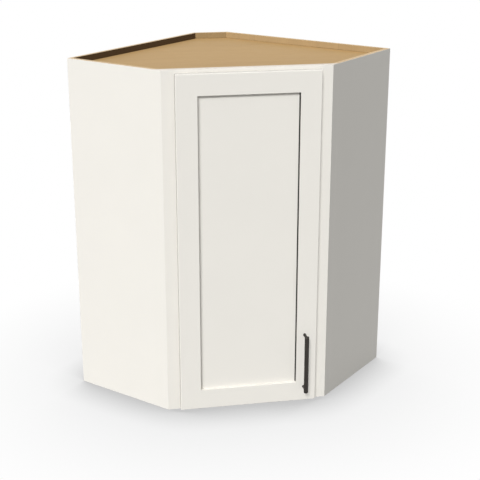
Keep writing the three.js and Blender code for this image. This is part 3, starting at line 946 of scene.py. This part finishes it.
def place_on_points(graph, given, body):
    """Instances on the incoming points, turned to their directions, as one real mesh."""
    look = graph.node("GeometryNodeInputNamedAttribute", {"data_type": "FLOAT_VECTOR"},
                      {"Name": "look"}, "Attribute")
    turn = graph.node("FunctionNodeAlignRotationToVector", {"axis": "Z"}, {"Vector": look})
    placed = graph.node("GeometryNodeInstanceOnPoints", None,
                        {"Points": given["Geometry"], "Instance": body, "Rotation": turn})
    real = graph.node("GeometryNodeRealizeInstances", None, {"Geometry": placed})
    dressed = graph.node("GeometryNodeSetMaterial", None,
                         {"Geometry": real, "Material": given["Material"]})
    graph.node("NodeGroupOutput", None, {"Geometry": dressed})


# %% The screw tree
SCREW_SIZES = ("Head radius", "Head height", "Head rise", "Shank radius", "Length", "Pitch")
RIM, RIM_SLOPE = 0.25 * MM, 0.5  # a countersunk head's rim, and how far it closes in
DOME = 0.96  # of a full quarter circle
# The recess's arms: length and width in head radii, and twice the depth. Their floors don't lie
# in one plane.
RECESS_ARMS = (0.95, 0.26, 2.4 * MM), (0.26, 0.95, 2.3 * MM)
SHANK_START = 1.35 * MM  # below the head's top, in the head but under its recess
THREAD_DEPTH = 0.2  # of the shank's radius
TIP_RADIUS, TIP_SLOPE = 0.25 * MM, 1.1


def screw_tree(name, countersunk):
    """The head's underside is at height 0, or its top if it is countersunk."""
    graph, given = new_tree(name, SCREW_SIZES)
    head_radius, head_height = given["Head radius"], given["Head height"]
    shank = given["Shank radius"]
    if countersunk:
        top = given["Head rise"]
        bottom = top - head_height
        slope = (head_radius - shank) / head_height

        def head_rule(height):
            cone = shank + (height - bottom) * slope
            rim = head_radius - (height - top + RIM) * RIM_SLOPE
            return graph.math("MINIMUM", cone, rim)
    else:
        top = head_height
        bottom = 0.0
        rise = given["Head rise"]

        def head_rule(height):
            over = graph.math("MAXIMUM", height - (head_height - rise), 0.0)
            return head_radius - rise + graph.math("SQRT", rise * rise - over * over * DOME)
    head = swept(graph, bottom, top, head_rule, points=14, sides=40)
    for long, wide, deep in RECESS_ARMS:
        size = graph.combine(head_radius * long, head_radius * wide, deep)
        arm = graph.node("GeometryNodeMeshCube", None, {"Size": size})
        arm = graph.node("GeometryNodeTransform", None,
                         {"Geometry": arm, "Translation": graph.combine(0.0, 0.0, top)})
        head = graph.node("GeometryNodeMeshBoolean", {"operation": "DIFFERENCE"},
                          {"Mesh 1": head, "Mesh 2": arm})
    tip = 0.0 - given["Length"]

    def shank_rule(height):
        tooth = graph.math("PINGPONG", height / given["Pitch"], 0.5) * 2.0
        crest = shank * (1 - THREAD_DEPTH + THREAD_DEPTH * tooth)
        point = (height - tip) * TIP_SLOPE + TIP_RADIUS
        return graph.math("MINIMUM", crest, point)

    body = swept(graph, tip, top - SHANK_START, shank_rule, points=72, sides=20)
    place_on_points(graph, given, join(graph, head, body))
    return graph.tree


wood_screw = screw_tree("wood_screw", True)
machine_screw = screw_tree("machine_screw", False)
print("screw trees have", len(wood_screw.nodes), "and", len(machine_screw.nodes), "nodes")

# %% [markdown]
# ## Running a tree
#
# A tree works on an object, so each kind of fastener gets a mesh of bare points, each with the
# direction that it looks in. Cutting the recess leaves points that meet but aren't joined and
# would show as cracks, so they are joined and all faces turned outwards.

# %% Running a tree on points
def points_object(name, places):
    """An object of bare points, each with the direction that its piece looks in."""
    mesh = bpy.data.meshes.new(name)
    mesh.from_pydata([tuple(place) for place, look in places], [], [])
    looks = mesh.attributes.new("look", "FLOAT_VECTOR", "POINT")
    for value, (place, look) in zip(looks.data, places):
        value.vector = look
    return add_object(name, mesh)


def close_outwards(mesh):
    """Joins the points that meet and turns every face outwards."""
    shape = bmesh.new()
    shape.from_mesh(mesh)
    bmesh.ops.remove_doubles(shape, verts=shape.verts, dist=MERGE)
    bmesh.ops.dissolve_degenerate(shape, dist=MERGE, edges=shape.edges)
    bmesh.ops.recalc_face_normals(shape, faces=shape.faces)
    loose = sum(not edge.is_manifold for edge in shape.edges)
    print(f"{mesh.name}: {shape.calc_volume(signed=True) / MM ** 3:.0f} mm3, {loose} open edges")
    shape.to_mesh(mesh)
    shape.free()


def run_tree(tree, name, places, sizes, material, body, replaced):
    """Runs a tree on its points and keeps the result as one plain mesh."""
    source = points_object(f"{name}_points", places)
    modifier = source.modifiers.new("tree", "NODES")
    modifier.node_group = tree
    given = {**sizes, "Material": material}
    for socket in tree.interface.items_tree:
        if socket.in_out == "INPUT" and socket.name in given:
            modifier[socket.identifier] = given[socket.name]
    evaluated = source.evaluated_get(bpy.context.evaluated_depsgraph_get())
    mesh = bpy.data.meshes.new_from_object(evaluated)
    mesh.name = name
    close_outwards(mesh)
    source.modifiers.clear()
    bpy.data.objects.remove(source)
    mesh.shade_smooth()
    mesh.set_sharp_from_angle(angle=SHARP)
    print(f"{name}: {len(places)} in one mesh of {len(mesh.polygons)} faces")
    add_piece(name, mesh, material, body, replaced)


# %% Hinge and pull screws
WOOD_SCREW = {"Head height": 1.9 * MM, "Head rise": 0.0, "Shank radius": 1.6 * MM,
              "Pitch": 1.4 * MM}
MACHINE_SCREW = {"Head height": 1.8 * MM, "Head rise": 0.8 * MM, "Shank radius": 2 * MM,
                 "Pitch": 0.7 * MM}


def add_screws(name, tree, kind, under_top, axis, body, screws):
    """Screws whose heads look along +axis and whose tree starts so far under the head's top."""
    look = (ALONG_X, ALONG_Y)[axis]
    across = (axis + 1) % 3
    places = []
    for node in screws:
        low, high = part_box(node)
        place = (low + high) / 2
        place[axis] = high[axis] - under_top
        places.append((place, look))
    low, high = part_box(screws[0])
    sizes = {**kind, "Head radius": (high[across] - low[across]) / 2,
             "Length": high[axis] - low[axis] - under_top}
    run_tree(tree, name, places, sizes, steel, body, screws)


for part, axis, body in (("cup", 1, "door"), ("plate", 0, "cabinet")):
    add_screws(f"hinge_{part}_screws", wood_screw, WOOD_SCREW, 0.0, axis, body,
               [f"{label}_hinge_{part}_screw_{i}" for label in PAIR for i in (1, 2)])
head_height = MACHINE_SCREW["Head height"]
add_screws("pull_screws", machine_screw, MACHINE_SCREW, head_height, 1, "door",
           [f"pull_{label}_screw" for label in PAIR])
add_screws("hinge_arm_screws", machine_screw, MACHINE_SCREW, head_height, 0, "cabinet",
           [f"{label}_hinge_arm_screw" for label in PAIR])

# %% [markdown]
# ## Shelf pins by Geometry Nodes
#
# Each shelf lies on five steel pins: a shaft in a drilled hole, a collar against the panel and a
# round nose under the shelf. The same tree builder makes them, since these are round bodies in
# line whose radius is again a rule of their height.

# %% The shelf pin tree
PIN_SIZES = ("Radius", "Depth", "Reach", "Collar radius", "Collar height")
SHAFT_EASE, COLLAR_EASE = 0.7 * MM, 0.25 * MM
COLLAR_START = 0.1 * MM
SIDES_GAIN = 0.02 * MM  # keeps the many-sided pin as wide as a round one


def pin_tree():
    graph, given = new_tree("shelf_pin", PIN_SIZES)

    def rounded(radius, low, high, ease):
        def rule(height):
            from_end = graph.math("MINIMUM", height - low, high - height)
            short = graph.math("MAXIMUM", ease - from_end, 0.0)
            arc = graph.math("SQRT", graph.math("MAXIMUM", ease * ease - short * short, 0.0))
            return radius - ease + arc + SIDES_GAIN
        return rule

    low, high = 0.0 - given["Depth"], given["Reach"]
    shaft_rule = rounded(given["Radius"], low, high, SHAFT_EASE)
    shaft = swept(graph, low, high, shaft_rule, points=48, sides=28)
    low, high = COLLAR_START, given["Collar height"]
    collar_rule = rounded(given["Collar radius"], low, high, COLLAR_EASE)
    collar = swept(graph, low, high, collar_rule, points=12, sides=36)
    place_on_points(graph, given, join(graph, shaft, collar))
    return graph.tree


shelf_pin = pin_tree()

# %% Pins under both shelves
PIN_DEPTH = 7.5 * MM  # in the panel

pin_looks = {"corner": -ALONG_Y}
for hand in ("left", "right"):
    pin_looks[f"{hand}_side"] = -SIDE_OUT[hand]
    pin_looks[f"{hand}_back"] = -WALL_OUT[hand]

pin_nodes = []
pin_places = []
for shelf in ("lower", "upper"):
    for spot, look in pin_looks.items():
        node = f"{shelf}_shelf_{spot}_pin"
        low, high = reach(node, look)
        middle = sum(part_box(node), Vector()) / 2
        pin_nodes.append(node)
        pin_places.append((middle + look * (low + PIN_DEPTH - middle.dot(look)), look))
        pin_reach = high - low - PIN_DEPTH
pin_sizes = {"Radius": 2.5 * MM, "Depth": PIN_DEPTH, "Reach": pin_reach,
             "Collar radius": 4 * MM, "Collar height": 1.1 * MM}
run_tree(shelf_pin, "shelf_pins", pin_places, pin_sizes, steel, "cabinet", pin_nodes)

# %% [markdown]
# ## The floor
#
# The cabinet stands on seamless white paper with nothing but a soft pool of shade round its foot.
# A lit white floor would need a lamp so strong that it burns out the paint. Instead the camera
# sees the paper as plain white, darkened where the cabinet closes it in, which the Ambient
# Occlusion node measures at two reaches. To every other ray it is grey paper that bounces light.

# %% Floor
WHITE = (1, 1, 1, 1)
BOUNCE_GREY = (0.29, 0.29, 0.288, 1)
NEAR_REACH, NEAR_SHADE = 0.12, 0.46
FAR_REACH, FAR_SHADE = 0.6, 0.40
DARKEST = 0.57
FLOOR_HALF = 20.0


def seen_directly(graph):
    """1 for rays from the camera, and for those that metal and clear rubber send on."""
    camera, glossy, through = (graph.node("ShaderNodeLightPath", out=f"Is {kind} Ray")
                               for kind in ("Camera", "Glossy", "Transmission"))
    return graph.math("MINIMUM", camera + glossy + through, 1.0)


def closed_in(graph, distance):
    """0 on the open floor, and more where something stands within a distance."""
    inputs = {"Distance": distance}
    return 1 - graph.node("ShaderNodeAmbientOcclusion", {"samples": 16}, inputs, "AO")


def floor_material():
    material = bpy.data.materials.new("paper_floor")
    graph = empty_graph(material)
    shade = 1 - NEAR_SHADE * closed_in(graph, NEAR_REACH) - FAR_SHADE * closed_in(graph, FAR_REACH)
    light = graph.math("MAXIMUM", shade, DARKEST)
    paper = graph.node("ShaderNodeEmission", None, {"Color": graph.tint(WHITE, light)})
    bounce = graph.node("ShaderNodeBsdfDiffuse", None, {"Color": BOUNCE_GREY})
    mixed = graph.node("ShaderNodeMixShader", None, {0: seen_directly(graph), 1: bounce, 2: paper})
    graph.node("ShaderNodeOutputMaterial", None, {"Surface": mixed})
    return material


corners = [(x * FLOOR_HALF, y * FLOOR_HALF, 0) for x, y in ((-1, -1), (1, -1), (1, 1), (-1, 1))]
floor_mesh = bpy.data.meshes.new("floor")
floor_mesh.from_pydata(corners, [], [(0, 1, 2, 3)])
floor_mesh.materials.append(floor_material())
floor = add_object("floor", floor_mesh)
print("floor", 2 * FLOOR_HALF, "m wide")

# %% [markdown]
# ## Light
#
# Soft light from the upper left gives the sides their three shades: one lamp nearly in front and
# a broader one further to the side. A weak lamp straight above lifts the top, and an even white
# surround fills the rest. The levels are chosen so that a sheet facing the lamps comes out about
# as bright as its colour is written; the paint must not burn out.

# %% World and lamps
FILL = 0.25
LAMPS = {  # degrees from the front, degrees up, energy, and width in degrees
    "front": (-22, 38, 1.4, 12),
    "side": (-42, 38, 2.02, 22),
    "top": (0, 90, 0.35, 40),
}


def world_light():
    """A dim surround for the pieces, and a white one for the camera."""
    world = bpy.data.worlds.new("studio")
    graph = empty_graph(world)
    fill, white = (graph.node("ShaderNodeBackground", None, {"Color": WHITE, "Strength": level})
                   for level in (FILL, 1.0))
    mixed = graph.node("ShaderNodeMixShader", None, {0: seen_directly(graph), 1: fill, 2: white})
    graph.node("ShaderNodeOutputWorld", None, {"Surface": mixed})
    bpy.context.scene.world = world


def sun(name, turn, rise, energy, width):
    """A lamp as far as the sun: turned from the front, raised, and soft by its width."""
    turn, rise = math.radians(turn), math.radians(rise)
    data = bpy.data.lights.new(name, "SUN")
    data.energy = energy
    data.angle = math.radians(width)
    lamp = add_object(name, data)
    towards = Vector((math.sin(turn) * math.cos(rise), -math.cos(turn) * math.cos(rise),
                      math.sin(rise)))
    lamp.rotation_euler = towards.to_track_quat("Z", "Y").to_euler()
    print(f"{name} lamp from", [round(v, 2) for v in towards])
    return lamp


world_light()
lamps = {name: sun(name, *values) for name, values in LAMPS.items()}

# %% [markdown]
# ## Short shadows on the door
#
# Beside the handle stile, on the bottom rail and round the pull, the real shadows are shorter
# than one soft lamp draws them. A broader lamp would shorten them, but it would also blur the
# three shades of the sides. So the side lamp's rays pass these few pieces by light linking, and
# only the other lamps draw their shadows.

# %% Pieces that the side lamp passes
passed = bpy.data.collections.new("passed by the side lamp")
for piece in bpy.context.scene.objects:
    if piece.name.startswith(("door_handle_stile", "door_bottom_rail", "pull_")):
        passed.objects.link(piece)
lamps["side"].light_linking.blocker_collection = passed
for link in passed.collection_objects:
    link.light_linking.link_state = "EXCLUDE"

# %% [markdown]
# ## The camera
#
# The photograph was taken from a little to the left and well above, with a long lens: its upright
# edges lean only slightly together. Place, aim and lens come from matching the cabinet's outline
# and the door's edges.

# %% Camera
CAMERA_PLACE = Vector((-0.4994, -2.8805, 1.3892))
CAMERA_TARGET = Vector((-0.0203, -0.2711, 0.4695))
LENS, SENSOR_WIDTH = 81.8, 36

camera_data = bpy.data.cameras.new("camera")
camera_data.lens = LENS
camera_data.sensor_width = SENSOR_WIDTH
camera = add_object("camera", camera_data)
camera.location = CAMERA_PLACE
camera.rotation_euler = (CAMERA_TARGET - CAMERA_PLACE).to_track_quat("-Z", "Y").to_euler()
bpy.context.scene.camera = camera
bpy.context.scene.view_settings.view_transform = "Standard"
print("camera", round((CAMERA_TARGET - CAMERA_PLACE).length, 2), "m from the door")
